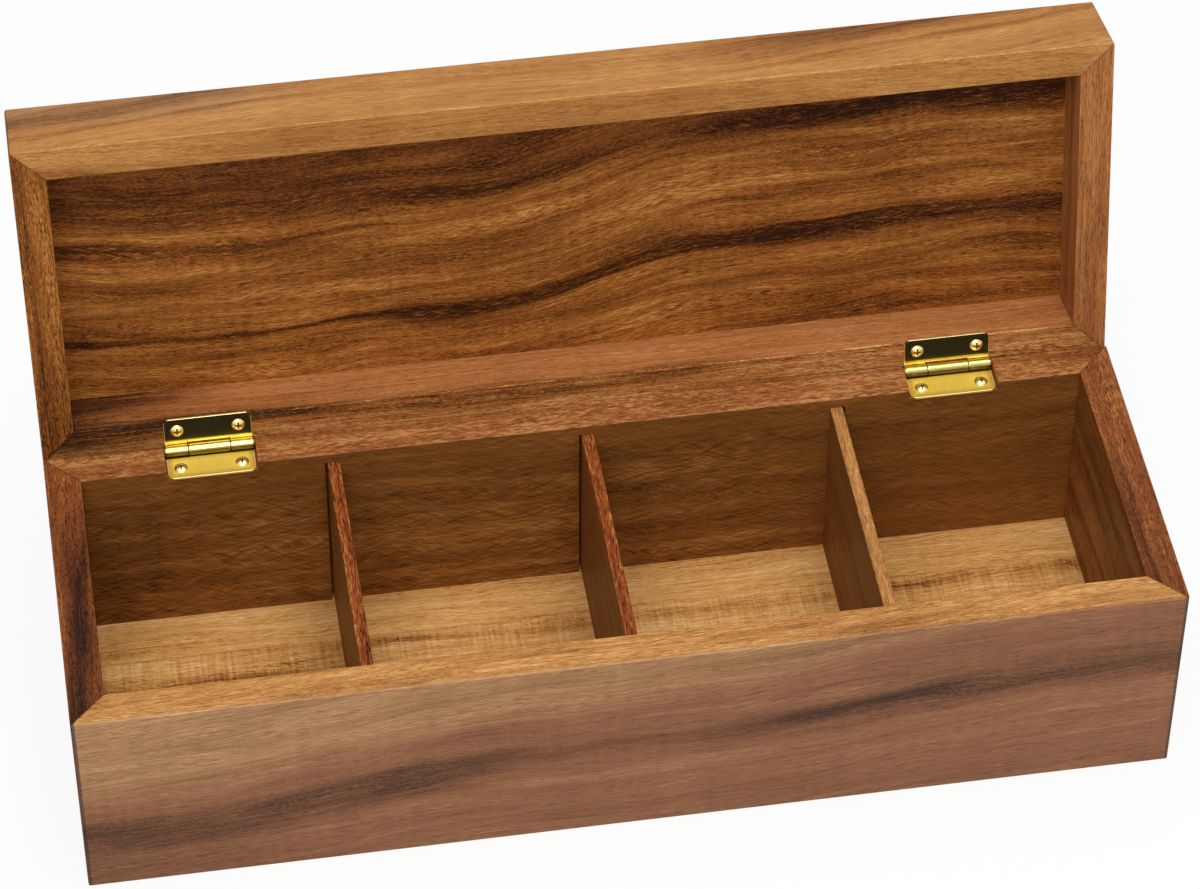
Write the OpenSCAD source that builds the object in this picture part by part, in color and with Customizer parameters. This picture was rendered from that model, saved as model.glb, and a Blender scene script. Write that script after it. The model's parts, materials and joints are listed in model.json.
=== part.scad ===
// Tea box: a mitred hardwood base with three fixed dividers and a deep hinged lid,
// carried by two brass butt hinges. Millimetres. The lid stands open, leaning on its stop.
// Origin: centre of the underside of the base. X: length, Y: towards the hinges, Z: up.

/* [Base] */
// Outside length of the box
box_l = 340; // [310:5:400]
// Outside depth of the box, front to back
box_w = 111; // [100:1:140]
// Height of the base
base_h = 75; // [65:1:95]
// Thickness of the four base boards
wall = 11; // [10:0.5:13]
// Thickness of the floor panel
floor_t = 8; // [6:0.5:10]

/* [Lid] */
// Height of the lid
lid_h = 28; // [24:1:40]
// Thickness of the four lid boards
lid_wall = 10.5; // [9.5:0.5:13]
// Thickness of the top panel
top_t = 9; // [7:0.5:11]
// Angle that the open lid leans to, from closed
open_angle = 103; // [90:0.5:105]
// Gap all round between the closed lid and the base
seam_gap = 0.3; // [0.2:0.05:0.5]

/* [Joinery] */
// Width of the rabbets that hold the floor and the top panel
rabbet_w = 5.5; // [4:0.5:6]
// Play round the floor and the top panel in their rabbets
panel_gap = 0.15; // [0.05:0.05:0.4]
// Rounding of the upright outer corners
corner_r = 1.2; // [1:0.1:2]
// Rounding of the long edges
edge_r = 0.5; // [0.2:0.1:0.8]
// Rounding of the base's back top edge, which the lid swings over
back_edge_r = 0.8; // [0.5:0.1:1.4]
// Rounding of the lid's back edge, which comes down behind the base
stop_edge_r = 0.2; // [0.1:0.05:0.3]

/* [Dividers] */
// Thickness of a divider
div_t = 4; // [3:0.5:6]
// How far the dividers stop below the rim of the base
div_drop = 4; // [3:0.5:12]
// Depth of the dados that hold the dividers
dado_d = 3; // [2:0.5:4]
// Play of a divider across its dado
dado_play = 0.8; // [0.3:0.1:1.4]
// Play of a divider at each end, in its dado
dado_end_gap = 0.3; // [0.1:0.1:0.6]

/* [Hinges] */
// Distance of each hinge's middle from its end of the box
hinge_end = 52; // [35:1:65]
// Length of a hinge
hinge_l = 27.5; // [25:0.5:32]
// Leaf width, from the pin's centre to the free edge
leaf_w = 10.8; // [10:0.1:11.5]
// Thickness of the leaf sheet
leaf_t = 0.8; // [0.6:0.05:0.9]
// Rounding of a leaf's free corners
leaf_corner_r = 2; // [1:0.25:2.5]
// Outside radius of the rolled knuckles
knuckle_r = 1.95; // [1.8:0.05:2.2]
// Length of each of the two end knuckles
end_knuckle_l = 7; // [5:0.25:8.5]
// Gap between neighbouring knuckles
knuckle_gap = 0.25; // [0.15:0.05:0.4]
// Distance of the pin's centre in front of the box's back face
axis_inset = 0.8; // [0.6:0.05:1.2]
// Radial clearance of the pin in its knuckles
pin_gap = 0.05; // [0.03:0.01:0.1]
// Length of pin that shows at each end of a hinge
pin_proud = 0.25; // [0.1:0.05:0.4]
// Free space round a knuckle in the wood
knuckle_relief = 0.3; // [0.25:0.05:0.5]
// Free space at each end of a hinge in its mortise
mortise_side = 0.6; // [0.45:0.05:1.2]

/* [Screws] */
// Distance between the two screws of a leaf
screw_pitch = 19.2; // [16:0.2:20]
// Distance of the screws from the pin's centre
screw_back = 6.5; // [6:0.1:7]
// Radius of a screw's shank
screw_r = 1; // [0.8:0.05:1.2]
// Length of a screw below its head
screw_l = 10; // [7:0.5:12]
// Radius of a screw's domed head
head_r = 2.1; // [1.6:0.05:2.3]
// Height of a screw's domed head
head_h = 0.85; // [0.7:0.05:1]
// Radial clearance of a screw in its leaf
leaf_hole_gap = 0.25; // [0.15:0.05:0.4]
// Radial clearance of a screw in its pilot hole
pilot_gap = 0.05; // [0.03:0.01:0.1]

/* [Hidden] */

$fn = 48;
// Overlap of a cut past the surface that it opens
cut = 1;

// Middle of each hinge, to the left and right of the middle of the box
hinge_x = box_l / 2 - hinge_end;
// Hinge axis: the lid's leaves lie on the lid's rim, and the base is mortised for the whole hinge
axis_y = box_w / 2 - axis_inset;
axis_z = base_h + seam_gap - knuckle_r;
mortise_d = 2 * knuckle_r - seam_gap;
bore_r = knuckle_r - leaf_t;
pin_r = bore_r - pin_gap;
mid_knuckle_l = hinge_l - 2 * (end_knuckle_l + knuckle_gap);
// Free edge of the leaf at the other leaf's knuckles
leaf_back = knuckle_r + knuckle_relief;
// Height of the slit where a rolled knuckle's end meets its leaf
curl_slit = 0.12;

lid_z = base_h + seam_gap;
lid_top_z = lid_z + lid_h;

// Inside of the base, and the middles of the three dados
inner_l = box_l - 2 * wall;
inner_w = box_w - 2 * wall;
compartments = 4;
div_h = base_h - floor_t - div_drop;
// Side of its dado that each divider stands against
div_lean = [1, 1, -1];

// Width and depth of a screw head's cross recess
cross_w = 0.55;
cross_l = 2.5;
cross_d = 0.45;
// Length of a screw's point
screw_tip_l = 2;

// Dados that leave equal clear compartments
function dado_x(i) = (i + 1 - compartments / 2) * (inner_l + div_t) / compartments;
function divider_x(i) = dado_x(i) + div_lean[i] * dado_play / 2;

// What a rounded edge takes off: the edge runs along x, and the wood fills +y and +z
module edge_cut(len, r) {
    difference() {
        translate([-len / 2 - cut, -cut, -cut])
            cube([len + 2 * cut, r + cut, r + cut]);
        translate([-len / 2 - 2 * cut, r, r])
            rotate([0, 90, 0]) cylinder(r = r, h = len + 4 * cut);
    }
}

// What a rounded upright corner takes off: the wood fills +x and +y
module corner_cut(h, r) {
    difference() {
        translate([-cut, -cut, -cut]) cube([r + cut, r + cut, h + 2 * cut]);
        translate([r, r, -2 * cut]) cylinder(r = r, h = h + 4 * cut);
    }
}

// One mitred board: outside on y = 0, inside on y = t, panel side on z = 0, rim on z = h
module frame_board(len, t, h, panel_t, rim_out_r) {
    difference() {
        linear_extrude(h)
            polygon([[-len / 2, 0], [len / 2, 0], [len / 2 - t, t], [-len / 2 + t, t]]);
        translate([-len / 2, t - rabbet_w, -cut])
            cube([len, rabbet_w + cut, panel_t + cut]);
        edge_cut(len, edge_r);
        translate([0, 0, h]) mirror([0, 0, 1]) edge_cut(len, rim_out_r);
        translate([0, t, h]) rotate([180, 0, 0]) edge_cut(len, edge_r);
        for (side = [0, 1])
            mirror([side, 0, 0]) translate([-len / 2, 0, 0]) corner_cut(h, corner_r);
    }
}

// Places a board of length box_l or box_w on one side of the box
module at_front() { translate([0, -box_w / 2, 0]) children(); }
module at_back() { translate([0, box_w / 2, 0]) rotate([0, 0, 180]) children(); }
module at_left() { translate([-box_l / 2, 0, 0]) rotate([0, 0, -90]) children(); }
module at_right() { translate([box_l / 2, 0, 0]) rotate([0, 0, 90]) children(); }

module base_board(len, rim_out_r = edge_r) {
    frame_board(len, wall, base_h, floor_t, rim_out_r);
}

module lid_board(len, rim_out_r = edge_r) {
    frame_board(len, lid_wall, lid_h, top_t, rim_out_r);
}

// The lid's boards are the base's turned over, with the rim down
module lid_side_up() { translate([0, 0, lid_top_z]) mirror([0, 0, 1]) children(); }

// Swings a piece of the closed lid open about the pins
module opened() {
    translate([0, axis_y, axis_z]) rotate([-open_angle, 0, 0])
        translate([0, -axis_y, -axis_z]) children();
}

module at_hinges() {
    for (side = [-1, 1]) at_hinge(side) children();
}

module at_hinge(side) {
    translate([side * hinge_x, axis_y, axis_z]) children();
}

// A panel that fills the rabbets of its frame, with its show edges eased
module rabbeted_panel(t, frame_wall) {
    len = box_l - 2 * (frame_wall - rabbet_w + panel_gap);
    width = box_w - 2 * (frame_wall - rabbet_w + panel_gap);
    difference() {
        translate([-len / 2, -width / 2, 0]) cube([len, width, t]);
        for (side = [0, 1]) {
            mirror([0, side, 0]) translate([0, -width / 2, 0]) edge_cut(len, edge_r);
            mirror([side, 0, 0]) translate([-len / 2, 0, 0])
                rotate([0, 0, -90]) edge_cut(width, edge_r);
        }
    }
}

// Dados for the dividers, seen from the inside of the front and back boards
module dados() {
    for (i = [0:compartments - 2])
        translate([dado_x(i) - (div_t + dado_play) / 2, -inner_w / 2 - dado_d, -cut])
            cube([div_t + dado_play, inner_w + 2 * dado_d, floor_t + div_h + dado_end_gap + cut]);
}

module divider(i) {
    len = inner_w + 2 * (dado_d - dado_end_gap);
    translate([divider_x(i), 0, floor_t]) difference() {
        translate([-div_t / 2, -len / 2, 0]) cube([div_t, len, div_h]);
        for (side = [0, 1])
            mirror([side, 0, 0]) translate([-div_t / 2, 0, div_h])
                rotate([0, 0, -90]) mirror([0, 0, 1]) edge_cut(len, edge_r);
    }
}

// Pilot holes for the two screws of a leaf, downwards from the leaf's seat
module pilots() {
    for (side = [-1, 1])
        translate([side * screw_pitch / 2, -screw_back, -knuckle_r - screw_l])
            cylinder(r = screw_r + pilot_gap, h = screw_l + cut);
}

// Room for a hinge's knuckles in the wood above and below the pin
module knuckle_room() {
    len = hinge_l + 2 * mortise_side;
    translate([-len / 2, 0, 0]) rotate([0, 90, 0])
        cylinder(r = knuckle_r + knuckle_relief, h = len);
}

module base_hinge_cuts() {
    len = hinge_l + 2 * mortise_side;
    at_hinges() {
        translate([-len / 2, -wall - cut, -knuckle_r])
            cube([len, wall + axis_inset + 2 * cut, mortise_d + cut]);
        knuckle_room();
        pilots();
    }
}

module lid_hinge_cuts() {
    at_hinges() {
        knuckle_room();
        mirror([0, 0, 1]) pilots();
    }
}

// Sheet of one leaf below the pin, from the pin's centre line to the free edge
module leaf_sheet() {
    r = leaf_corner_r;
    translate([-hinge_l / 2, -leaf_w + r, -knuckle_r]) cube([hinge_l, leaf_w - r, leaf_t]);
    translate([-hinge_l / 2 + r, -leaf_w, -knuckle_r]) cube([hinge_l - 2 * r, r + cut, leaf_t]);
    for (side = [-1, 1])
        translate([side * (hinge_l / 2 - r), -leaf_w + r, -knuckle_r])
            cylinder(r = r, h = leaf_t);
}

// Space that the other leaf's knuckles turn in, from x0 to x1
module knuckle_slot(x0, x1) {
    translate([x0, -leaf_back, -2 * knuckle_r]) cube([x1 - x0, 2 * leaf_back, 4 * knuckle_r]);
}

// One leaf with knuckles rolled from its own sheet, over each [x0, x1] span
module leaf(spans, slots) {
    difference() {
        union() {
            difference() {
                leaf_sheet();
                for (s = slots) knuckle_slot(s[0], s[1]);
            }
            for (s = spans)
                translate([s[0], 0, 0]) rotate([0, 90, 0])
                    cylinder(r = knuckle_r, h = s[1] - s[0]);
        }
        translate([-hinge_l / 2 - cut, 0, 0]) rotate([0, 90, 0])
            cylinder(r = bore_r, h = hinge_l + 2 * cut);
        for (s = spans)
            translate([s[0] - cut / 4, -knuckle_r, -bore_r])
                cube([s[1] - s[0] + cut / 2, knuckle_r - bore_r / 4, curl_slit]);
        for (side = [-1, 1])
            translate([side * screw_pitch / 2, -screw_back, -knuckle_r - cut])
                cylinder(r = screw_r + leaf_hole_gap, h = leaf_t + 2 * cut);
    }
}

// The base's leaf carries the middle knuckle, the lid's leaf the two end ones
module base_leaf() {
    m = mid_knuckle_l / 2;
    e = hinge_l / 2;
    color("gold") leaf([[-m, m]], [[-e - cut, -m], [m, e + cut]]);
}

module lid_leaf() {
    m = mid_knuckle_l / 2 + knuckle_gap;
    e = hinge_l / 2;
    color("goldenrod") mirror([0, 0, 1]) leaf([[-e, -m], [m, e]], [[-m, m]]);
}

module hinge_pin() {
    len = hinge_l + 2 * pin_proud;
    color("darkkhaki") translate([-len / 2, 0, 0]) rotate([0, 90, 0]) union() {
        cylinder(r1 = pin_r - pin_proud, r2 = pin_r, h = pin_proud);
        translate([0, 0, pin_proud]) cylinder(r = pin_r, h = hinge_l);
        translate([0, 0, len - pin_proud])
            cylinder(r1 = pin_r, r2 = pin_r - pin_proud, h = pin_proud);
    }
}

// Round-head wood screw: the underside of the head on z = 0, the point down
module screw() {
    dome_r = (head_r * head_r + head_h * head_h) / (2 * head_h);
    difference() {
        union() {
            intersection() {
                translate([0, 0, head_h - dome_r]) sphere(r = dome_r);
                cylinder(r = head_r, h = head_h + cut);
            }
            translate([0, 0, screw_tip_l - screw_l]) cylinder(r = screw_r, h = screw_l - screw_tip_l);
            translate([0, 0, -screw_l]) cylinder(r1 = screw_r / 5, r2 = screw_r, h = screw_tip_l);
        }
        for (a = [0, 90])
            rotate([0, 0, a]) translate([-cross_l / 2, -cross_w / 2, head_h - cross_d])
                cube([cross_l, cross_w, cross_d + cut]);
    }
}

// The two screws of a leaf, standing on the leaf's inner face below the pin
module leaf_screws() {
    color("khaki") for (side = [-1, 1])
        translate([side * screw_pitch / 2, -screw_back, -bore_r]) screw();
}

module base_front_board() {
    color("tan") difference() {
        at_front() base_board(box_l);
        dados();
    }
}

module base_back_board() {
    color("peru") difference() {
        at_back() base_board(box_l, back_edge_r);
        dados();
        base_hinge_cuts();
    }
}

module base_left_board() { color("sienna") at_left() base_board(box_w); }
module base_right_board() { color("chocolate") at_right() base_board(box_w); }
module base_floor_panel() { color("burlywood") rabbeted_panel(floor_t, wall); }
module divider_left() { color("coral") divider(0); }
module divider_middle() { color("salmon") divider(1); }
module divider_right() { color("sandybrown") divider(2); }

module lid_front_board() { color("wheat") opened() lid_side_up() at_front() lid_board(box_l); }

// The lid's back edge stays crisp, because it comes down behind the base as the stop
module lid_back_board() {
    color("rosybrown") opened() difference() {
        lid_side_up() at_back() lid_board(box_l, stop_edge_r);
        lid_hinge_cuts();
    }
}

module lid_left_board() { color("brown") opened() lid_side_up() at_left() lid_board(box_w); }
module lid_right_board() { color("indianred") opened() lid_side_up() at_right() lid_board(box_w); }
module lid_top_panel() { color("saddlebrown") opened() lid_side_up() rabbeted_panel(top_t, lid_wall); }

module hinge_base_leaf(side) { at_hinge(side) base_leaf(); }
module hinge_lid_leaf(side) { opened() at_hinge(side) lid_leaf(); }
module hinge_base_screws(side) { at_hinge(side) leaf_screws(); }
module hinge_lid_screws(side) { opened() at_hinge(side) mirror([0, 0, 1]) leaf_screws(); }

base_front_board();
base_back_board();
base_left_board();
base_right_board();
base_floor_panel();
divider_left();
divider_middle();
divider_right();
lid_front_board();
lid_back_board();
lid_left_board();
lid_right_board();
lid_top_panel();
hinge_base_leaf(-1);  // left_hinge_base_leaf
hinge_lid_leaf(-1);  // left_hinge_lid_leaf
at_hinge(-1) hinge_pin();  // left_hinge_pin
hinge_base_leaf(1);  // right_hinge_base_leaf
hinge_lid_leaf(1);  // right_hinge_lid_leaf
at_hinge(1) hinge_pin();  // right_hinge_pin
hinge_base_screws(-1);  // left_hinge_base_screws
hinge_lid_screws(-1);  // left_hinge_lid_screws
hinge_base_screws(1);  // right_hinge_base_screws
hinge_lid_screws(1);  // right_hinge_lid_screws
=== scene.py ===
"""Finish of the tea box: oiled acacia boards and brass butt hinges, with its floor, lamps and camera.

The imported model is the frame. Lengths are metres; grain patterns are worked out in millimetres.
"""

import json
import math
from collections import namedtuple
from types import SimpleNamespace

import bmesh
import bpy
from mathutils import Matrix, Vector

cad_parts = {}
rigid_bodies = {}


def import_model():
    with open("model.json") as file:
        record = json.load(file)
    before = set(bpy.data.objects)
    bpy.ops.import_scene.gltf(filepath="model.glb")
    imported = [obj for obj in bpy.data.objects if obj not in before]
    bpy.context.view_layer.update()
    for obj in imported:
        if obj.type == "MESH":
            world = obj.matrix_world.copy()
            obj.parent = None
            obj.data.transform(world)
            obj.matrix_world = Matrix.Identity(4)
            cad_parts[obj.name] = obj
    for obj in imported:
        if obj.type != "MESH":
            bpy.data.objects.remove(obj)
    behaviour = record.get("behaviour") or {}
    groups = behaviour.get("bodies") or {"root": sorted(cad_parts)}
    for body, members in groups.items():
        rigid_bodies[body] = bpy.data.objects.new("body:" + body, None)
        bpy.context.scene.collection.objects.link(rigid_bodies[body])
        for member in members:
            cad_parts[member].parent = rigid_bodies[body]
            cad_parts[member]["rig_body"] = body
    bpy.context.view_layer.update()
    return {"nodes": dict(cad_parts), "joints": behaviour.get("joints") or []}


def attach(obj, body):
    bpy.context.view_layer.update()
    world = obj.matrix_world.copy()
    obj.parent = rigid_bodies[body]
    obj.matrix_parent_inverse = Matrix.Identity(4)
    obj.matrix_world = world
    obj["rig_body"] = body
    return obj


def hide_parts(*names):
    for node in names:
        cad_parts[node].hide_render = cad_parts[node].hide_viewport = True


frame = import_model()

MM = 0.001
NODES = frame["nodes"]
SIDES = ("left", "right")
LID_JOINT = frame["joints"][0]
LID_SWING = math.radians(LID_JOINT["range_deg"][1])
PIN = Vector((0, LID_JOINT["pos_m"][1], LID_JOINT["pos_m"][2]))
# Turns a place on the open lid to where it is with the lid shut
SHUT = Matrix.Translation(PIN) @ Matrix.Rotation(LID_SWING, 4, "X") @ Matrix.Translation(-PIN)


def srgb(red, green, blue):
    """A colour written as on a paint chart, 0 to 255, as the linear colour that shaders use."""
    linear = []
    for level in (red, green, blue):
        share = level / 255
        linear.append(share / 12.92 if share <= 0.04045 else ((share + 0.055) / 1.055) ** 2.4)
    return (*linear, 1.0)


# ---------------------------------------------------------------- shader writing

class Signal:
    """A shader socket that can be written into sums. Each operator adds one Math node."""

    def __init__(self, finish, socket):
        self.finish = finish
        self.socket = socket

    def __add__(self, other):
        return self.finish.math("ADD", self, other)

    def __radd__(self, other):
        return self.finish.math("ADD", other, self)

    def __sub__(self, other):
        return self.finish.math("SUBTRACT", self, other)

    def __rsub__(self, other):
        return self.finish.math("SUBTRACT", other, self)

    def __mul__(self, other):
        return self.finish.math("MULTIPLY", self, other)

    def __rmul__(self, other):
        return self.finish.math("MULTIPLY", other, self)

    def __truediv__(self, other):
        return self.finish.math("DIVIDE", self, other)

    def __rtruediv__(self, other):
        return self.finish.math("DIVIDE", other, self)

    def __abs__(self):
        return self.finish.math("ABSOLUTE", self)

    def rise(self, low, high):
        """0 below low, 1 above high, and a smooth rise between them."""
        settings = {"interpolation_type": "SMOOTHSTEP"}
        values = {"Value": self, "From Min": low, "From Max": high}
        return self.finish.node("ShaderNodeMapRange", settings, values)


class Finish:
    """A material or a world in the making. `node` adds a node and gives its output as a Signal."""

    def __init__(self, owner):
        owner.use_nodes = True
        self.owner = owner
        self.tree = owner.node_tree

    def node(self, kind, settings=None, values=None, out=0):
        made = self.tree.nodes.new(kind)
        for name, setting in (settings or {}).items():
            if name == "stops":
                self.set_stops(made.color_ramp, setting)
            elif name == "points":
                self.set_points(made.mapping, setting)
            else:
                setattr(made, name, setting)
        for name, value in (values or {}).items():
            self.feed(made.inputs[name], value)
        if isinstance(out, tuple):
            return [Signal(self, made.outputs[name]) for name in out]
        return Signal(self, made.outputs[out])

    def feed(self, socket, value):
        if isinstance(value, Signal):
            self.tree.links.new(value.socket, socket)
        else:
            socket.default_value = value

    def set_stops(self, ramp, stops):
        while len(ramp.elements) < len(stops):
            ramp.elements.new(1.0)
        for element, (position, color) in zip(ramp.elements, stops):
            element.position = position
            element.color = color

    def set_points(self, mapping, points):
        curve = mapping.curves[0]
        while len(curve.points) < len(points):
            curve.points.new(1.0, 0.5)
        for point, place in zip(curve.points, points):
            point.location = place
        mapping.update()

    def math(self, operation, *values):
        return self.node("ShaderNodeMath", {"operation": operation}, dict(enumerate(values)))

    def mix(self, share, first, second):
        """Blends two colours: the share is of the second one."""
        values = {0: share, 6: first, 7: second}
        return self.node("ShaderNodeMix", {"data_type": "RGBA"}, values, out=2)

    def bump(self, height, distance, strength):
        values = {"Height": height, "Distance": distance, "Strength": strength}
        return self.node("ShaderNodeBump", None, values)

    def surface(self, **values):
        """The material's own shader, with its values set."""
        shader = self.tree.nodes["Principled BSDF"]
        for name, value in values.items():
            self.feed(shader.inputs[name.replace("_", " ")], value)
        return Signal(self, shader.outputs[0])

    def show(self, shader):
        """Ends the making with this shader, and gives the finished material or world."""
        output = next(node for node in self.tree.nodes if node.bl_idname.startswith("ShaderNodeOutput"))
        self.feed(output.inputs["Surface"], shader)
        return self.owner


def new_finish(name):
    return Finish(bpy.data.materials.new(name))


# ---------------------------------------------------------------- acacia

# Half the length of the stretch over which a grain path is drawn, and its reach across, in mm
PATH_HALF = 180
PATH_REACH = 80

# One layer of a figure: length and width of its features in mm, how much finer detail it holds,
# how rough that is, and an offset that sets it apart from the other layers
Layer = namedtuple("Layer", "length width detail roughness offset")
WANDER = Layer(160, 50, 1.0, 0.5, 3)
CURL = Layer(38, 10, 1.0, 0.5, 11)
BANDS = Layer(260, 14, 2.0, 0.5, 20)
PATCHES = Layer(50, 2.0, 3.0, 0.6, 31)
LINES = Layer(40, 0.7, 3.0, 0.65, 43)
FIBRES = Layer(14, 0.22, 1.0, 0.5, 57)
CROWDS = Layer(60, 6, 2.0, 0.5, 61)
DASHES = Layer(5.5, 0.5, 1.0, 0.5, 71)
CROSS_DASHES = Layer(5.0, 0.45, 1.0, 0.5, 77)
RIPPLES = Layer(1.0, 16, 1.0, 0.4, 83)
GLOWS = Layer(9, 40, 2.0, 0.5, 87)
SWELLS = Layer(55, 25, 1.0, 0.5, 90)
SAP_LINE = Layer(90, 12, 2.0, 0.5, 99)

# One streak: how dark it is, or light below 0, how coarse it makes the pores, its place across in
# mm, the width over which it fades above and below that, and where along the grain it starts and
# ends, where 400 is past the end of every board
Streak = namedtuple("Streak", "dark coarse at above below start end")
# How far a streak fades in and out along the grain, in mm, and the share of its fading on one side
# that is also on the other
STREAK_FADE = 30
STREAK_OVERLAP = 0.3

# How strongly each part of the figure shows where a board has nothing of its own
FIGURE = dict(lift=0.0, bands=0.5, band_width=14, patches=0.3, lines=0.65, fleck=0.8, stroke=1.0,
              pores=0.32, crowding=0.0, flow=6.0, skew=0.2, shimmer=0.06, ripple=0.0, rubbed=0.1,
              gloss=0.1)
# The tone, from 0 to 1, of wood without any figure, and what each of these adds or takes off it
PLAIN_TONE = 0.7
FIBRE_SHADE = 0.3
STREAK_SHADE = 0.34
COARSE_SHADE = 0.14
SEAM_SHADE = 0.75
MITRE_SHADE = 0.12
# How unevenly the pores crowd, how much more in a coarse streak, and where dashes open into pores
CROWD_SPREAD = 0.45
COARSE_CROWD = 0.16
PORE_RISE = (0.05, 0.18)
CROSS_PORE_RISE = (0.08, 0.2)
# How crowded the pores are where a glue line begins to show, and where it shows most
SEAM_RISE = (-0.02, 0.12)
OILED_ROUGHNESS = 0.48
# Depth of the open grain, in metres
RELIEF_DEPTH = 0.00012
RELIEF_STRENGTH = 0.6
# In mm: how far the grain wanders across, how far in from a long edge its wear and painted highlight
# show, and how far in from a mitre's glue line that line shows
WANDER_REACH = 6
WEAR_AND_HIGHLIGHT_REACH = 0.6
MITRE_REACH = 0.2
# Also in mm: how far along the grain a second strip is shifted, so that its figure doesn't run on
# from the first, the half width of the change between them, and the edge of the glue line
STRIP_SHIFT = 97
STRIP_CHANGE = 0.05
SEAM_EDGE = (0.08, 0.25)


class Board:
    """Directions of one board in mm, with the lid shut.

    along: from the middle of the board along its grain. face: across its face, from its low edge.
    deep: from its show side, -1 for the low side or 1 for the high one, into the wood.
    across: as face, but following the grain as it strays and turns.
    """

    def __init__(self, finish, node, axes, show, seed):
        self.finish = finish
        self.seed = seed
        shut = SHUT if NODES[node]["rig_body"] == "lid" else Matrix.Identity(4)
        corners = [shut @ vertex.co for vertex in NODES[node].data.vertices]
        low, size = {}, {}
        for index, axis in enumerate("XYZ"):
            low[axis] = min(corner[index] for corner in corners) / MM
            size[axis] = max(corner[index] for corner in corners) / MM - low[axis]
        values = {
            "Vector": finish.node("ShaderNodeTexCoord", out="Object"),
            "Location": shut.translation / MM,
            "Rotation": shut.to_euler(),
            "Scale": (1 / MM, 1 / MM, 1 / MM),
        }
        place = finish.node("ShaderNodeMapping", None, values)
        split = finish.node("ShaderNodeSeparateXYZ", None, {"Vector": place}, out=tuple(axes))
        self.length, self.width, self.thick = (size[axis] for axis in axes)
        self.along = split[0] - (low[axes[0]] + self.length / 2)
        self.face = split[1] - low[axes[1]]
        self.deep = split[2] - low[axes[2]] if show < 0 else (low[axes[2]] + self.thick) - split[2]
        self.across = self.face
        # Where deep meets the outside of the box: the show side, or the side away from it
        shows_outside = (low[axes[2]] + self.thick / 2 > 0) == (show > 0)
        self.outside = 0 if shows_outside else self.thick

    def stray(self, points):
        """Bends the grain along a given path of points (mm along, mm across)."""
        stops = [(x / (2 * PATH_HALF) + 0.5, y / PATH_REACH + 0.5) for x, y in points]
        share = self.along / (2 * PATH_HALF) + 0.5
        strayed = self.finish.node("ShaderNodeFloatCurve", {"points": stops}, {"Value": share})
        self.across = self.across - (strayed - 0.5) * PATH_REACH

    def glue(self, at):
        """Glues a second strip on, beyond `at` mm across the face."""
        self.second_strip = self.face.rise(at - STRIP_CHANGE, at + STRIP_CHANGE)
        self.along = self.along + self.second_strip * STRIP_SHIFT

    def noise(self, layer, scale=1.0, lean=0.0):
        """Cloudy variation about 0, drawn out along the grain. `lean` turns it across the grain."""
        across = self.across + self.along * lean if lean else self.across
        place = self.finish.node("ShaderNodeCombineXYZ", None, {
            "X": self.along / (layer.length * scale) + (self.seed + layer.offset),
            "Y": across / (layer.width * scale),
            "Z": self.deep / (layer.width * scale),
        })
        values = {"Vector": place, "Scale": 1.0, "Detail": layer.detail, "Roughness": layer.roughness}
        return self.finish.node("ShaderNodeTexNoise", None, values) - 0.5

    def between(self, start, end, blur):
        """1 between two places along the grain, and 0 beyond them."""
        started = self.along.rise(start - blur, start + blur)
        return started * (1 - self.along.rise(end - blur, end + blur))

    def arris(self, reach):
        """1 on the long edges, where the finish is worn thin and a highlight is painted."""
        to_edge = self.width / 2 - abs(self.face - self.width / 2)
        to_side = self.thick / 2 - abs(self.deep - self.thick / 2)
        return (1 - to_edge.rise(0.1, reach)) * (1 - to_side.rise(0.1, reach))

    def mitre(self, reach):
        """1 on the glue line of the mitres at both ends."""
        from_end = self.length / 2 - abs(self.along)
        return 1 - (from_end - abs(self.deep - self.outside)).rise(0.05, reach)


def streak_cover(board, streak, offset):
    """How much of a streak is here: 0 away from it, and about 1 in it, where it swells and thins."""
    away = board.across - streak.at
    cover = 1 - away.rise(-STREAK_OVERLAP * streak.below, streak.above)
    cover = cover * (1 - (0 - away).rise(-STREAK_OVERLAP * streak.above, streak.below))
    cover = cover * board.between(streak.start, streak.end, STREAK_FADE)
    return cover * (1 + board.noise(SWELLS._replace(offset=offset)))


def ramp(finish, tone, tones):
    """Colours from the darkest to the lightest, evenly spread over tones from 0 to 1."""
    stops = [(index / (len(tones) - 1), srgb(*color)) for index, color in enumerate(tones)]
    return finish.node("ShaderNodeValToRGB", {"stops": stops}, {"Fac": tone})


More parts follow.
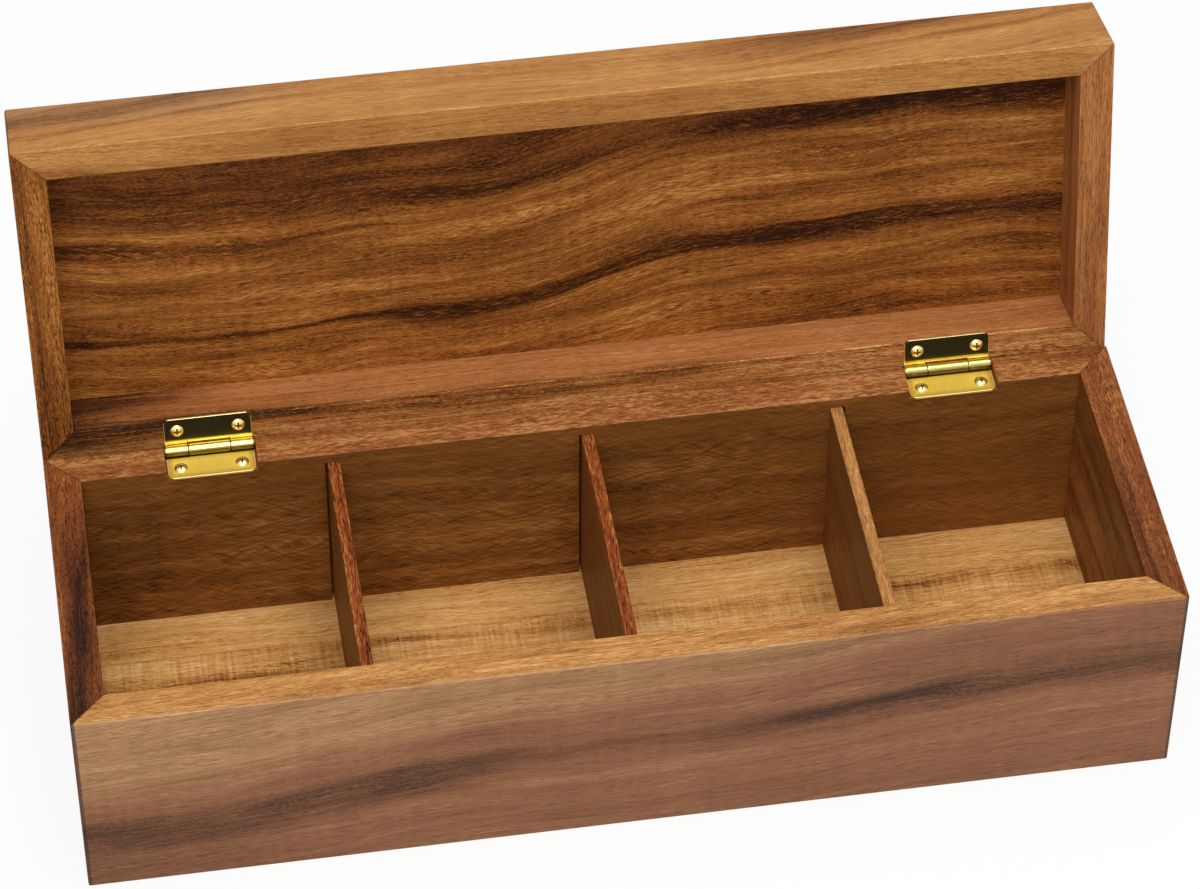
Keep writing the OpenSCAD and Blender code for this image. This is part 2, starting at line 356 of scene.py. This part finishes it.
def acacia(node, axes, show, tones, seed, path=None, streaks=(), glued_at=None, mitred=False,
           zones=(), **own):
    """Oiled acacia for one board. `tones` are its colours from the darkest to the lightest.

    `streaks` are rows for Streak, and `own` is where its figure differs from FIGURE. Each zone is a
    part of the board with other tones: these tones, how much stronger the figure shows in them, and
    the function that places them.
    """
    figure = SimpleNamespace(**{**FIGURE, **own})
    finish = new_finish("acacia_" + node)
    board = Board(finish, node, axes, show, seed)
    if path:
        board.stray(path)
    if glued_at:
        board.glue(glued_at)
    board.across = board.across + board.deep + board.noise(WANDER) * WANDER_REACH
    board.across = board.across + board.noise(CURL) * figure.flow

    dark = 0.0
    coarse = 0.0
    for index, row in enumerate(streaks):
        streak = Streak(*row)
        cover = streak_cover(board, streak, SWELLS.offset + 13 * index)
        dark = cover * streak.dark + dark
        coarse = cover * streak.coarse + coarse

    line = board.noise(LINES)
    fibre = board.noise(FIBRES)
    crowd = board.noise(CROWDS) * CROWD_SPREAD + figure.crowding + coarse * COARSE_CROWD
    dash = board.noise(DASHES, figure.stroke, figure.skew)
    cross_dash = board.noise(CROSS_DASHES, figure.stroke, -0.7 * figure.skew)
    cross_pore = (cross_dash + crowd).rise(*CROSS_PORE_RISE)
    pore = finish.math("MAXIMUM", (dash + crowd).rise(*PORE_RISE), cross_pore)

    shade = figure.lift + board.noise(BANDS._replace(width=figure.band_width)) * figure.bands
    shade = shade + board.noise(PATCHES) * figure.patches + line * figure.lines + fibre * FIBRE_SHADE
    shade = shade + board.noise(GLOWS) * figure.shimmer + (dash + cross_dash) * figure.fleck
    shade = shade - pore * (figure.pores + coarse * COARSE_SHADE) - dark * STREAK_SHADE
    # Long edges lighter: partly wear, partly a painted highlight
    shade = shade + board.arris(WEAR_AND_HIGHLIGHT_REACH) * figure.rubbed
    if glued_at:
        shade = shade + board.noise(RIPPLES) * figure.ripple * (1 - board.second_strip)
        seam = 1 - abs(board.face - glued_at).rise(*SEAM_EDGE)
        shade = shade - seam * crowd.rise(*SEAM_RISE) * SEAM_SHADE
    if mitred:
        shade = shade - board.mitre(MITRE_REACH) * MITRE_SHADE

    color = ramp(finish, shade + PLAIN_TONE, tones)
    for other_tones, contrast, where in zones:
        color = finish.mix(where(board), color, ramp(finish, shade * contrast + PLAIN_TONE, other_tones))
    relief = fibre * 0.4 + line * 0.5 - pore * 0.6
    return finish.show(finish.surface(
        Base_Color=color,
        Roughness=OILED_ROUGHNESS + line * 0.12 + pore * 0.14,
        Specular_IOR_Level=figure.gloss,
        Normal=finish.bump(relief, RELIEF_DEPTH, RELIEF_STRENGTH),
    ))


# ---------------------------------------------------------------- brass

# Radius of the knuckles, and how far from the pin a leaf's edges are its sheet's own, in metres
KNUCKLE_RADIUS = 0.00195
SHEET_FROM = 0.0026
# How far a leaf's edges are rounded, and how near a vertex is to what it lies on, in metres
EASE = 0.00013
TOUCH = 2e-5
# An edge sharper than SHARP is rounded, and one sharper than CREASE shows as an edge
SHARP = math.radians(50)
CREASE = math.radians(40)
# The buttons at the ends of a pin, in metres, and their outline as shares of radius and height
BUTTON_RADIUS = 0.0017
BUTTON_HEIGHT = 0.00055
BUTTON_OUTLINE = ((1.0, 0.0), (0.99, 0.6), (0.88, 1.0))
# Where a leaf's rolled knuckle passes into its flat sheet, in mm from the pin
ROLL_END = (2.1, 2.6)
# The way the side of the knuckles with painted shade and a painted dark reflection faces, as y and z
UNDERSIDE = (-0.8, -0.6)
# Roughness of the brass: polished, left satin, of a domed screw head, and of a pin's wire
POLISHED = 0.12
SATIN = 0.4
DOMED = 0.32
DRAWN = 0.4
# Blotches to a metre
STAIN_SCALE = 380.0
# Where the painted dark reflection on a lid's leaf ends, in mm from the leaf's free edge
DARK_REFLECTION_EDGE = (7.4, 7.9)
# Radius of a screw's head, and of the ball that its dome is cut from, in mm
HEAD_RADIUS = 2.1
DOME_RADIUS = 3.02

ROLLED = srgb(204, 186, 112)
ROLLED_STAIN = srgb(172, 142, 70)
# Painted shade and dark reflection for the knuckles' underside
KNUCKLE_UNDERSIDE_SHADE = srgb(84, 74, 34)
SHEET = srgb(255, 222, 92)
SHEET_STAIN = srgb(240, 188, 66)
SHEET_BORDER = srgb(176, 132, 56)
# A thin painted highlight for the edges of a leaf's sheet
PAINTED_EDGE_HIGHLIGHT = srgb(250, 226, 158)
# A painted dark reflection on the lid's leaf
PAINTED_DARK_REFLECTION = srgb(62, 58, 34)
WIRE = srgb(150, 124, 72)
WIRE_STAIN = srgb(120, 94, 48)
DOME = srgb(248, 222, 150)
# Painted shade round a dome's rim and in its cross recess
PAINTED_RIM_SHADE = srgb(206, 164, 84)
PAINTED_RECESS_SHADE = srgb(96, 66, 26)


def stains(finish, place):
    """Soft blotches in polished brass, from 0 to 1."""
    values = {"Vector": place, "Scale": STAIN_SCALE, "Detail": 3.0, "Roughness": 0.55}
    blotch = finish.node("ShaderNodeTexNoise", None, values)
    return (blotch - 0.5).rise(-0.12, 0.2)


def pin_brass():
    """Dull brass wire."""
    finish = new_finish("pin_brass")
    stained = stains(finish, finish.node("ShaderNodeTexCoord", out="Object")) * 0.5
    return finish.show(finish.surface(
        Base_Color=finish.mix(stained, WIRE, WIRE_STAIN),
        Metallic=1.0,
        Roughness=DRAWN + stained * 0.12,
    ))


def leaf_brass(leaf, sheet_roughness, dark_reflection_share):
    """Brass of one leaf: its rolled knuckles, with painted shade and a painted dark reflection
    underneath, and its flat sheet.

    The last argument is the share of a painted dark reflection on the sheet, left off along its edges.
    """
    finish = new_finish(leaf + "_brass")
    place = finish.node("ShaderNodeTexCoord", out="Object")
    stained = stains(finish, place)
    _, y, z = finish.node("ShaderNodeSeparateXYZ", None, {"Vector": place}, out=("X", "Y", "Z"))
    y = y - PIN.y
    z = z - PIN.z
    sheet = (finish.math("SQRT", y * y + z * z) / MM).rise(*ROLL_END)
    under = (y * UNDERSIDE[0] + z * UNDERSIDE[1]) / KNUCKLE_RADIUS
    rolled = finish.mix(stained * 0.5, ROLLED, ROLLED_STAIN)
    # Painted shade and dark reflection on the knuckles' underside
    rolled = finish.mix(under.rise(0.0, 0.8), rolled, KNUCKLE_UNDERSIDE_SHADE)

    board = Board(finish, leaf, "XYZ", -1, 0)
    inside = finish.math("MINIMUM", board.length / 2 - abs(board.along), board.face)
    border = inside.rise(0.15, 0.35) * (1 - inside.rise(0.4, 2.6))
    flat = finish.mix(stained * 0.5, SHEET, SHEET_STAIN)
    flat = finish.mix(border * 0.5, flat, SHEET_BORDER)
    # A thin painted highlight along the sheet's edges
    flat = finish.mix(1 - inside.rise(0.1, 0.25), flat, PAINTED_EDGE_HIGHLIGHT)
    # A painted dark reflection over the lid leaf's sheet, short of its edges
    painted_reflection = inside.rise(0.1, 0.3) * (1 - board.face.rise(*DARK_REFLECTION_EDGE)) * dark_reflection_share
    return finish.show(finish.surface(
        Base_Color=finish.mix(painted_reflection, finish.mix(sheet, rolled, flat), PAINTED_DARK_REFLECTION),
        Metallic=1.0 - sheet * 0.35 - painted_reflection * 0.2,
        Roughness=POLISHED + sheet * (sheet_roughness - POLISHED) + stained * 0.08,
    ))


def screw_brass(screws, show):
    """Brass of two screws: satin domes, with painted shade in their dull cross recesses and round each
    dome's rim.
    """
    finish = new_finish(screws + "_brass")
    board = Board(finish, screws, "XYZ", show, 0)
    x = abs(board.along) - (board.length / 2 - HEAD_RADIUS)
    y = board.face - HEAD_RADIUS
    z = board.deep - DOME_RADIUS
    below_dome = DOME_RADIUS - finish.math("SQRT", x * x + y * y + z * z)
    recess = below_dome.rise(0.05, 0.25)
    rim = (x * x + y * y).rise(2.6, 4.0)
    return finish.show(finish.surface(
        # Painted shade in the cross recesses and round the rim of each dome
        Base_Color=finish.mix(recess, finish.mix(rim * 0.7, DOME, PAINTED_RIM_SHADE), PAINTED_RECESS_SHADE),
        Metallic=1.0 - recess * 0.4,
        Roughness=DOMED + recess * 0.2,
    ))


def from_pin(vertex):
    """How far a vertex is from the middle of the pin, in metres."""
    return math.hypot(vertex.co.y - PIN.y, vertex.co.z - PIN.z)


def on_knuckle(vertex):
    """Is this on the outside of a knuckle?"""
    return abs(from_pin(vertex) - KNUCKLE_RADIUS) < TOUCH


def in_roll(vertex):
    return from_pin(vertex) < KNUCKLE_RADIUS + TOUCH


def is_sharp(edge):
    return edge.calc_face_angle(0) > SHARP


def merged(node):
    """A copy of a CAD node's mesh in one skin, with its flat faces whole."""
    metal = bmesh.new()
    metal.from_mesh(NODES[node].data)
    bmesh.ops.remove_doubles(metal, verts=metal.verts, dist=1e-6)
    bmesh.ops.dissolve_limit(metal, angle_limit=math.radians(1), verts=metal.verts, edges=metal.edges)
    return metal


def cut_across(metal, x, side=1, clear=False):
    """Cuts the metal across the pin at x. `clear` drops what lies beyond on that side."""
    geometry = metal.verts[:] + metal.edges[:] + metal.faces[:]
    bmesh.ops.bisect_plane(metal, geom=geometry, dist=1e-7, plane_co=(x, 0, 0),
                           plane_no=(side, 0, 0), clear_outer=clear)


def stand_for(node, metal, round_faces):
    """Puts a finished mesh in the place of a CAD node, on the same body."""
    for face in metal.faces:
        face.smooth = face in round_faces
    for edge in metal.edges:
        edge.smooth = edge.calc_face_angle(0) < CREASE
    mesh = bpy.data.meshes.new(node + "_eased")
    metal.to_mesh(mesh)
    metal.free()
    if mesh.has_custom_normals:
        mesh.attributes.remove(mesh.attributes["custom_normal"])
    piece = bpy.data.objects.new(node + "_eased", mesh)
    bpy.context.scene.collection.objects.link(piece)
    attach(piece, NODES[node]["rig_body"])
    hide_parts(node)
    return piece


def eased_leaf(leaf):
    """The leaf with the edges of its sheet and the ends of its knuckles rounded off."""
    metal = merged(leaf)
    knuckle_ends = {round(edge.verts[0].co.x, 5) for edge in metal.edges
                    if is_sharp(edge) and all(map(on_knuckle, edge.verts))}
    for x in sorted(knuckle_ends):
        # Short faces beside each end keep the rounding from twisting the long ones
        cut_across(metal, x - 2 * EASE)
        cut_across(metal, x + 2 * EASE)
    sharp = [edge for edge in metal.edges if is_sharp(edge)
             and (all(map(on_knuckle, edge.verts)) or min(map(from_pin, edge.verts)) > SHEET_FROM)]
    made = bmesh.ops.bevel(metal, geom=sharp, offset=EASE, offset_type="OFFSET", segments=3,
                           profile=0.5, affect="EDGES", clamp_overlap=False, material=-1)
    rounded = set(made["faces"])
    rolled = {face for face in metal.faces if all(map(in_roll, face.verts))}
    return stand_for(leaf, metal, rounded | rolled)


def peened_pin(pin):
    """The pin with its ends hammered out into low buttons against the outer knuckles."""
    metal = merged(pin)
    knuckles = [vertex.co.x for vertex in NODES[pin.replace("pin", "lid_leaf")].data.vertices]
    for side, end in ((-1, min(knuckles)), (1, max(knuckles))):
        cut_across(metal, end, side, clear=True)
        rim = [edge for edge in metal.edges if edge.is_boundary]
        for radius_share, height_share in BUTTON_OUTLINE:
            made = bmesh.ops.extrude_edge_only(metal, edges=rim)["geom"]
            rim = [item for item in made if isinstance(item, bmesh.types.BMEdge) and item.is_boundary]
            ring = [item for item in made if isinstance(item, bmesh.types.BMVert)]
            grow = BUTTON_RADIUS * radius_share / from_pin(ring[0])
            for vertex in ring:
                vertex.co.x = end + side * BUTTON_HEIGHT * height_share
            bmesh.ops.scale(metal, vec=(1, grow, grow), space=Matrix.Translation(-PIN), verts=ring)
        bmesh.ops.contextual_create(metal, geom=rim)
    bmesh.ops.recalc_face_normals(metal, faces=metal.faces)
    return stand_for(pin, metal, {face for face in metal.faces if abs(face.normal.x) < 0.9})


# ---------------------------------------------------------------- boards

FRONT_TONES = [(44, 26, 14), (88, 56, 36), (128, 82, 54), (154, 103, 70), (184, 136, 96)]
# The next tones are painted shade, for the rounded upright corners of the front
CORNER_SHADE_TONES = [(30, 20, 14), (56, 40, 30), (76, 54, 40), (88, 63, 47), (104, 76, 58)]
SAP_TONES = [(80, 52, 30), (124, 86, 52), (158, 114, 74), (182, 137, 92), (208, 166, 118)]
HONEY_TONES = [(70, 36, 12), (124, 74, 32), (166, 110, 56), (194, 139, 77), (222, 174, 112)]
TAN_TONES = [(70, 40, 16), (120, 76, 36), (164, 112, 60), (194, 137, 78), (224, 174, 116)]
PANEL_TONES = [(40, 18, 4), (78, 39, 12), (130, 74, 27), (172, 107, 46), (210, 154, 84)]
BACK_TONES = [(22, 12, 4), (60, 35, 12), (108, 66, 27), (142, 90, 40), (180, 126, 66)]
TAWNY_TONES = [(38, 18, 7), (80, 41, 16), (119, 66, 29), (145, 85, 42), (184, 130, 76)]
ROSE_TONES = [(42, 20, 10), (98, 56, 28), (156, 96, 50), (184, 119, 67), (208, 150, 98)]
RED_TONES = [(18, 8, 3), (50, 24, 9), (100, 51, 22), (134, 74, 35), (172, 112, 62)]
PALE_TONES = [(76, 40, 12), (140, 88, 40), (192, 136, 72), (215, 162, 97), (232, 192, 134)]
EMBER_TONES = [(44, 13, 4), (86, 36, 12), (130, 63, 26), (154, 83, 38), (192, 128, 72)]
HAZEL_TONES = [(50, 28, 10), (104, 60, 24), (154, 94, 44), (184, 118, 62), (216, 160, 100)]
UMBER_TONES = [(44, 24, 8), (84, 48, 18), (120, 72, 30), (140, 90, 40), (164, 112, 58)]


# Where a zone's tones go: each of these gives their share at every place in a board, in mm

def sapwood(board):
    """The upper left of the front, down to a soft slanting line."""
    edge = board.across - board.along * 0.05 + board.noise(SAP_LINE) * 16
    return edge.rise(53, 70) * 0.95


def painted_corner_shade(board):
    """Painted shade on the rounded upright corners at both ends of the board."""
    return (1 - (board.length / 2 - abs(board.along)).rise(0.75, 1.05)) * 0.85


def behind_face(board):
    """The top edge and all that lies behind the show face."""
    return (board.deep - 0.45).rise(0, 0.6)


def inner_side(board):
    """The face that looks into the box."""
    return (1 - (board.deep - 0.1).rise(0, 0.4)) * 0.6


def top_edge(board):
    """The board's top edge, which is cut from another part of the figure."""
    return (board.face - (board.width - 0.6)).rise(0, 0.3)


def right_and_top(board):
    """The right of the back wall and a band along its top, where the figure is quieter."""
    return board.finish.math("MAXIMUM", board.along.rise(40, 90), board.face.rise(56, 66)) * 0.8


def first_strip(board):
    """The floor's front strip, which is a little more golden than the back one."""
    return (1 - board.second_strip) * 0.3


def lid_rim(board):
    """The rim that meets the base when the lid is shut."""
    return 1 - (board.face - 0.4).rise(0, 0.5)


def left_rim_end(board):
    """The outer half of the lid's rim, left of the left hinge."""
    outer_half = (board.deep - 4.5).rise(0, 3)
    return lid_rim(board) * outer_half * (1 - board.along.rise(-128, -108)) * 0.8


def upper_left(board):
    """The upper left of the lid's front."""
    return board.face.rise(9, 20) * (1 - board.along.rise(-112, -70)) * 0.75


# What the three dividers share, and then every board's own settings for acacia
DIVIDER = dict(axes="YZX", show=-1, tones=UMBER_TONES, patches=0.2, lines=0.4, pores=0.12,
               crowding=0.03, rubbed=0.0)
BOARDS = {
    "base_front_board": dict(
        axes="XZY", show=-1, tones=FRONT_TONES, seed=4.0, mitred=True, gloss=0.18,
        pores=0.2, lines=0.55, bands=0.34, band_width=16, fleck=0.6, shimmer=0.12,
        path=[(-180, -15), (-130, -11), (-95, -7), (-57, -2), (-10, -1), (30, 0.5), (80, 6),
              (130, 11), (180, 14)],
        streaks=[
            (0.32, 1.4, 34, 20, 14, -400, -45),
            (0.6, 0.9, 30, 20, 3.4, 22, 400),
            (0.2, 0.1, 29.5, 3, 1.5, 0, 400),
            (0.12, 0.7, 42, 9, 10, -60, 20),
            (0.24, 0.7, 37, 8, 3, 35, 105),
            (0.42, 0.4, 22, 13, 14, -400, -105),
            (0.2, 0.0, 14, 20, 20, -400, -90),
        ],
        zones=[(SAP_TONES, 1.3, sapwood), (HONEY_TONES, 1.5, behind_face),
               (CORNER_SHADE_TONES, 1.0, painted_corner_shade)]),
    "base_back_board": dict(
        axes="XZY", show=-1, tones=BACK_TONES, seed=9.0, mitred=True, flow=7, skew=0.42, lines=0.5,
        lift=0.05, fleck=0.85, stroke=2.2,
        streaks=[(0.5, 0, 35, 40, 60, -400, -120), (-1.1, 0.9, 82, 30, 7, -400, -68),
                 (-0.35, 1.0, 82, 30, 7, 135, 400)],
        zones=[(BACK_TONES, 0.55, right_and_top), (TAWNY_TONES, 1.2, top_edge)]),
    "base_left_board": dict(
        axes="YZX", show=1, tones=RED_TONES, seed=15.0, mitred=True, lift=-0.015, fleck=1.1,
        path=[(-180, 12), (-50, 8), (-20, 4), (18, 1), (180, -8)], skew=0.3,
        streaks=[(1.2, 0.6, 76, 6, 5, -400, 20), (0.3, 0, 76, 40, 40, -400, 10)]),
    "base_right_board": dict(
        axes="YZX", show=-1, tones=RED_TONES, seed=21.0, mitred=True, lift=0.12, skew=0.3, fleck=1.1,
        path=[(-180, 3), (-20, 2), (40, 0), (180, -14)],
        streaks=[(0.8, 0.5, 77, 2, 2, -400, 10), (0.2, 0.3, 76, 40, 40, -400, 10),
                 (0.4, 0.1, 66, 14, 30, 0, 400)],
        zones=[(BACK_TONES, 1.0, inner_side)]),
    "base_floor_panel": dict(
        axes="XYZ", show=1, tones=PALE_TONES, seed=27.0, lines=0.9, pores=0.34, lift=0.05, rubbed=0.0,
        glued_at=77, ripple=0.5,
        streaks=[
            (0, 0.8, 90, 30, 17, -400, -60),
            (0, 1.75, 65, 9, 8, -400, -80),
            (0.25, 1.2, 81, 4, 4, -400, -85),
            (-0.45, 0, 94, 9, 9, -400, 0),
            (0.2, 0.2, 82, 5, 5, -75, -20),
            (0.7, 0.3, 75.5, 1.5, 5, 78, 400),
            (0.12, 0.8, 74, 3, 5, -80, 60),
        ],
        zones=[(HONEY_TONES, 1.0, first_strip)]),
    "divider_left": dict(seed=33.0, lift=0.045, zones=[(EMBER_TONES, 2.2, top_edge)], **DIVIDER),
    "divider_middle": dict(seed=39.0, lift=-0.04, zones=[(EMBER_TONES, 1.9, top_edge)], **DIVIDER),
    "divider_right": dict(seed=45.0, zones=[(TAN_TONES, 1.4, top_edge)], **DIVIDER),
    "lid_front_board": dict(
        axes="XZY", show=-1, tones=HONEY_TONES, seed=51.0, mitred=True, lines=0.6, pores=0.16,
        patches=0.25, shimmer=0.14, fleck=0.6, lift=-0.07,
        path=[(-180, -12), (-130, -4), (-90, 1), (-40, 2), (20, 0), (60, 1), (100, 7), (180, 22)],
        streaks=[(0.55, 0.9, 28, 6, 9, -400, -95), (0.3, 0.8, 17, 2, 3, -400, -80),
                 (0.95, 0.5, 14, 22, 14, 50, 400), (0.35, 0.6, 6, 2, 4, 80, 400)],
        zones=[(SAP_TONES, 1.0, upper_left)]),
    "lid_back_board": dict(
        axes="XZY", show=-1, tones=ROSE_TONES, seed=57.0, mitred=True, lift=0.05, skew=0.3,
        lines=0.8, pores=0.25, fleck=0.9,
        streaks=[(1.5, 0.6, 14, 30, 30, -400, -130), (0, 1.2, 0, 12, 12, -120, 60),
                 (1.0, 0.3, 1, 6, 6, -400, -105), (0.8, 0.5, 1, 2.5, 4, -112, -66),
                 (0.7, 0.5, 9.5, 1, 1.5, -112, -78)],
        zones=[(HAZEL_TONES, 1.5, lid_rim), (TAN_TONES, 1.1, left_rim_end)]),
    "lid_left_board": dict(
        axes="YZX", show=-1, tones=PANEL_TONES, seed=63.0, mitred=True, crowding=0.03, skew=0.34,
        fleck=1.2, streaks=[(0.9, 0, 0, 40, 40, 25, 400), (0.3, 0, 0, 40, 40, -400, -25)]),
    "lid_right_board": dict(
        axes="YZX", show=1, tones=ROSE_TONES, seed=69.0, mitred=True, lines=0.8, pores=0.25, fleck=0.9,
        lift=-0.02),
    "lid_top_panel": dict(
        axes="XYZ", show=-1, tones=PANEL_TONES, seed=75.0, crowding=0.07, rubbed=0.0, bands=0.42,
        skew=0.22, fleck=1.1, patches=0.24, lift=0.09, pores=0.4,
        path=[(-180, 20), (-134, 26), (-97, 27), (-64, 24), (-34, 24), (-9, 21), (15, 15), (35, 10),
              (58, 8), (90, 7), (115, 5), (140, 5), (180, 8)],
        streaks=[
            (0.8, 0.5, 51, 2.4, 1.6, -400, -40),
            (0.2, 1.3, 52, 7, 4, -60, 75),
            (0.4, 0.4, 55, 1.5, 1.0, -20, 70),
            (0.6, 1.4, 53, 8, 3, 60, 400),
            (0.9, 0.3, 51, 1.4, 1.0, 50, 400),
            (0.15, 1.0, 18, 5, 3, -400, -70),
            (0.2, 1.0, 10, 5, 5, -70, 15),
            (0.38, 0.6, 12, 7, 5, 10, 75),
            (0.42, 1.1, 13, 8, 8, 60, 400),
            (0.45, 0.2, 10, 1.5, 1.5, 60, 400),
            (0.26, 0.6, 4, 12, 20, -400, 0),
        ]),
}


def finish_boards():
    """Gives every board its own piece of acacia."""
    for node, settings in BOARDS.items():
        dress(NODES[node], acacia(node, **settings))


def dress(piece, material):
    """Puts one material on the whole piece."""
    piece.data.materials.clear()
    piece.data.materials.append(material)


def finish_hinges():
    """Gives both hinges their rounded leaves, peened pins and brass."""
    wire = pin_brass()
    for side in SIDES:
        hinge = side + "_hinge_"
        # The lid's leaf has the painted dark reflection and the base's leaf none
        for part, roughness, dark_reflection_share in (("lid_leaf", POLISHED, 1.0), ("base_leaf", SATIN, 0.0)):
            leaf = hinge + part
            dress(eased_leaf(leaf), leaf_brass(leaf, roughness, dark_reflection_share))
        dress(peened_pin(hinge + "pin"), wire)
        for part, show in (("base_screws", 1), ("lid_screws", -1)):
            screws = hinge + part
            dress(NODES[screws], screw_brass(screws, show))


# ---------------------------------------------------------------- room

CAMERA_PLACE = (-0.160, -0.968, 1.115)
# Degrees round from the front, down from level, and round the line of sight; then the lens in mm
CAMERA_AZIMUTH = 9.216
CAMERA_ELEVATION = 45.64
CAMERA_ROLL = 0.393
CAMERA_LENS = 139.35
LAMP_AIM = Vector((0, 0, 0.05))
WHITE = (1, 1, 1, 1)
FLOOR_SIZE = 6.0
# The share of plain white in the floor as seen, and the strength of the light from all round
FLOOR_WHITE = 0.9
SKY_LIGHT = 0.225


def add_camera():
    """Looks down into the open box from a little to the left of its front."""
    data = bpy.data.cameras.new("camera")
    data.lens = CAMERA_LENS
    camera = bpy.data.objects.new("camera", data)
    bpy.context.scene.collection.objects.link(camera)
    aim = Matrix.Rotation(math.radians(-CAMERA_AZIMUTH), 4, "Z")
    tip = Matrix.Rotation(math.radians(90 - CAMERA_ELEVATION), 4, "X")
    roll = Matrix.Rotation(math.radians(CAMERA_ROLL), 4, "Z")
    camera.matrix_world = Matrix.Translation(CAMERA_PLACE) @ aim @ tip @ roll
    bpy.context.scene.camera = camera


def white_where_seen(finish, lit, white, share):
    """Shows that share of white to the camera, in metal and through glass. The rest is as lit."""
    rays = ("Is Camera Ray", "Is Glossy Ray", "Is Transmission Ray")
    camera, glossy, clear = finish.node("ShaderNodeLightPath", out=rays)
    seen = finish.math("MAXIMUM", finish.math("MAXIMUM", camera, glossy), clear)
    return finish.show(finish.node("ShaderNodeMixShader", None, {0: seen * share, 1: lit, 2: white}))


def add_floor():
    """A pale floor that shows as white, with what is left of the box's shadow."""
    finish = new_finish("floor_paper")
    lit = finish.surface(Base_Color=(0.9, 0.9, 0.9, 1), Roughness=0.9, Specular_IOR_Level=0.1)
    white = finish.node("ShaderNodeEmission", None, {"Color": WHITE, "Strength": 1.0})
    sheet = bmesh.new()
    bmesh.ops.create_grid(sheet, x_segments=1, y_segments=1, size=FLOOR_SIZE / 2)
    mesh = bpy.data.meshes.new("floor")
    sheet.to_mesh(mesh)
    sheet.free()
    floor = bpy.data.objects.new("floor", mesh)
    bpy.context.scene.collection.objects.link(floor)
    dress(floor, white_where_seen(finish, lit, white, FLOOR_WHITE))


def add_lamp(name, place, size, watts):
    """A soft lamp that points at the box."""
    data = bpy.data.lights.new(name, "AREA")
    data.shape = "RECTANGLE"
    data.size, data.size_y = size
    data.energy = watts
    lamp = bpy.data.objects.new(name, data)
    bpy.context.scene.collection.objects.link(lamp)
    look = (LAMP_AIM - Vector(place)).to_track_quat("-Z", "Y").to_matrix().to_4x4()
    lamp.matrix_world = Matrix.Translation(place) @ look


def add_sky():
    """Even light from all round, which shows as white."""
    finish = Finish(bpy.data.worlds.new("studio"))
    lit = finish.node("ShaderNodeBackground", None, {"Color": WHITE, "Strength": SKY_LIGHT})
    white = finish.node("ShaderNodeBackground", None, {"Color": WHITE, "Strength": 1.0})
    bpy.context.scene.world = white_where_seen(finish, lit, white, 1.0)


def add_room():
    add_camera()
    add_floor()
    add_sky()
    add_lamp("key", (-0.25, -0.9, 1.5), (1.2, 1.2), 18)
    add_lamp("top", (0.2, 0.1, 1.6), (1.2, 1.0), 12.6)
    bpy.context.scene.view_settings.view_transform = "Standard"


add_room()
finish_boards()
finish_hinges()
